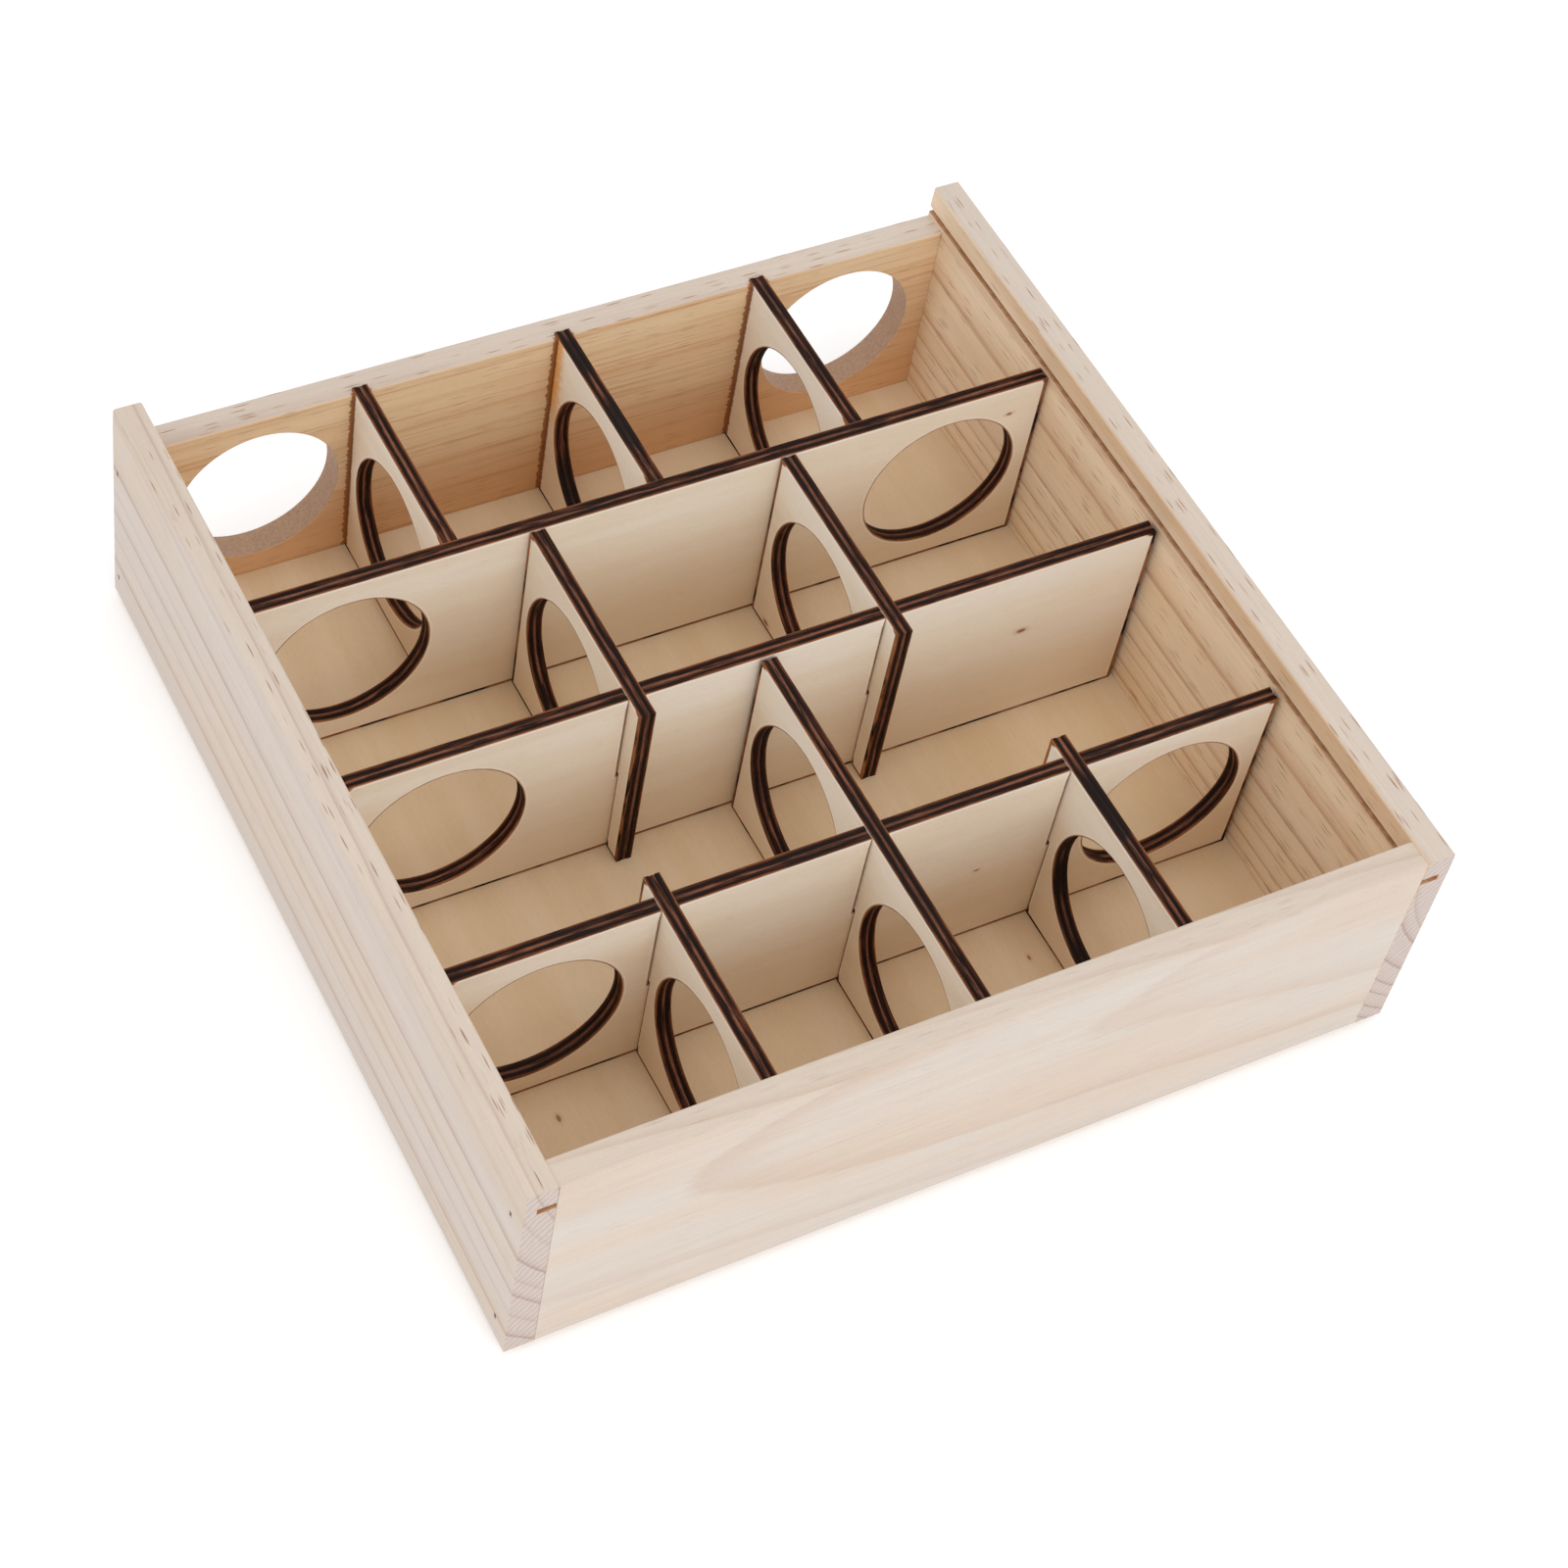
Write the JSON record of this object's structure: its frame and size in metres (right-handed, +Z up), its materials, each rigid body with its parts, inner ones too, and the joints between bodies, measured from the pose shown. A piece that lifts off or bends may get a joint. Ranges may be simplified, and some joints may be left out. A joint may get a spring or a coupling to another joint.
{
  "type": "slotted wooden maze box",
  "caption": "Square open-topped pine box on a plywood floor, split into rooms by slotted plywood dividers with round doors, and grooved for a sliding cover.",
  "frame": {"origin": "middle of the underside of the floor panel", "axes": "+Z up, +Y from the front wall to the lower back wall, +X to the right along the front wall"},
  "size_m": [0.28, 0.28, 0.081],
  "materials": {
    "side_pine": "sanded, unfinished",
    "front_pine": "sanded, unfinished",
    "back_pine": "sanded, unfinished",
    "divider_plywood": "smooth faces with laser-charred edges",
    "floor_plywood": "smooth, unfinished",
    "brad_steel": "bright wire"
  },
  "bodies": {
    "box": {"left_side_wall": "side_pine", "right_side_wall": "side_pine", "front_wall": "front_pine", "back_wall": "back_pine", "floor_panel": "floor_plywood", "rear_cross_divider": "divider_plywood", "back_bay_divider_left": "divider_plywood", "back_bay_divider_centre": "divider_plywood", "back_bay_divider_right": "divider_plywood", "front_left_brads": "brad_steel", "front_right_brads": "brad_steel", "back_left_brads": "brad_steel", "back_right_brads": "brad_steel", "floor_brads_front": "brad_steel", "floor_brads_back": "brad_steel", "floor_brads_left": "brad_steel", "floor_brads_right": "brad_steel"},
    "middle_cross_plate": {"middle_cross_divider": "divider_plywood"},
    "front_cross_plate": {"front_cross_divider": "divider_plywood"},
    "second_row_plate_left": {"second_row_divider_left": "divider_plywood"},
    "second_row_plate_right": {"second_row_divider_right": "divider_plywood"},
    "long_centre_plate": {"long_centre_divider": "divider_plywood"},
    "front_bay_plate_left": {"front_bay_divider_left": "divider_plywood"},
    "front_bay_plate_right": {"front_bay_divider_right": "divider_plywood"}
  },
  "joints": [
    {"name": "middle_cross_lift", "type": "slide", "parent": "box", "child": "middle_cross_plate", "axis": [0, 0, 1], "range_m": [0, 0.085]},
    {"name": "front_cross_lift", "type": "slide", "parent": "box", "child": "front_cross_plate", "axis": [0, 0, 1], "range_m": [0, 0.085]},
    {"name": "second_row_left_lift", "type": "slide", "parent": "middle_cross_plate", "child": "second_row_plate_left", "axis": [0, 0, 1], "range_m": [0, 0.085]},
    {"name": "second_row_right_lift", "type": "slide", "parent": "middle_cross_plate", "child": "second_row_plate_right", "axis": [0, 0, 1], "range_m": [0, 0.085]},
    {"name": "long_centre_lift", "type": "slide", "parent": "front_cross_plate", "child": "long_centre_plate", "axis": [0, 0, 1], "range_m": [0, 0.085]},
    {"name": "front_bay_left_lift", "type": "slide", "parent": "front_cross_plate", "child": "front_bay_plate_left", "axis": [0, 0, 1], "range_m": [0, 0.085]},
    {"name": "front_bay_right_lift", "type": "slide", "parent": "front_cross_plate", "child": "front_bay_plate_right", "axis": [0, 0, 1], "range_m": [0, 0.085]}
  ]
}
